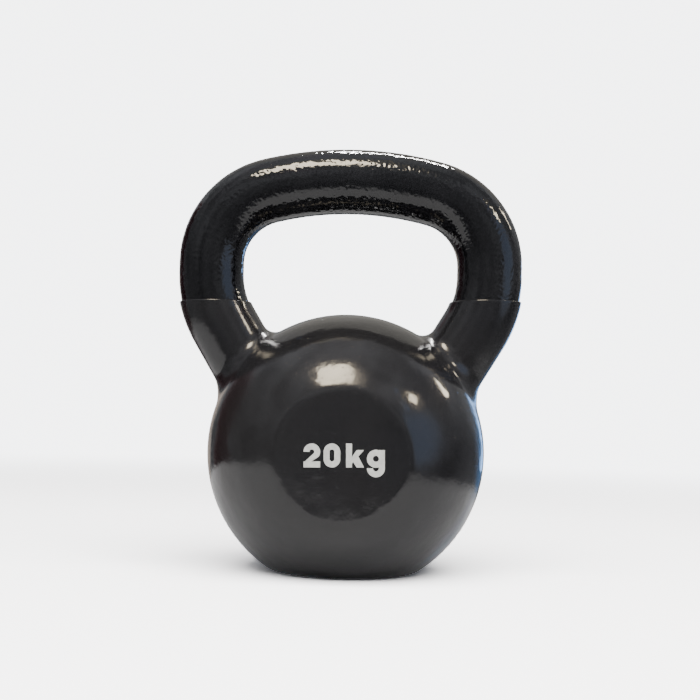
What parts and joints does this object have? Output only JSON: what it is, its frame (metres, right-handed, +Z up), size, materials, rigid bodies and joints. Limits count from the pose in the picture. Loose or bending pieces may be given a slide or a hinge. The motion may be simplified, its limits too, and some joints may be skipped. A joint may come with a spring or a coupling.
{
  "type": "kettlebell",
  "caption": "Vinyl-dipped cast-iron kettlebell: round bell on a flat foot with a dished face and a thick enamelled loop handle, for swings, presses and lifts.",
  "frame": {"origin": "middle of the flat foot that the bell rests on", "axes": "+Z up, X along the grip of the handle, and -Y is the side with the printed mark"},
  "size_m": [0.2112, 0.1507, 0.2582],
  "materials": {
    "bare_iron": "satin",
    "black_vinyl": "gloss",
    "black_enamel": "gloss",
    "pale_ink": "satin"
  },
  "bodies": {
    "root": {"iron_casting": "bare_iron", "vinyl_jacket": "black_vinyl", "handle_enamel": "black_enamel", "weight_mark": "pale_ink"}
  },
  "joints": []
}
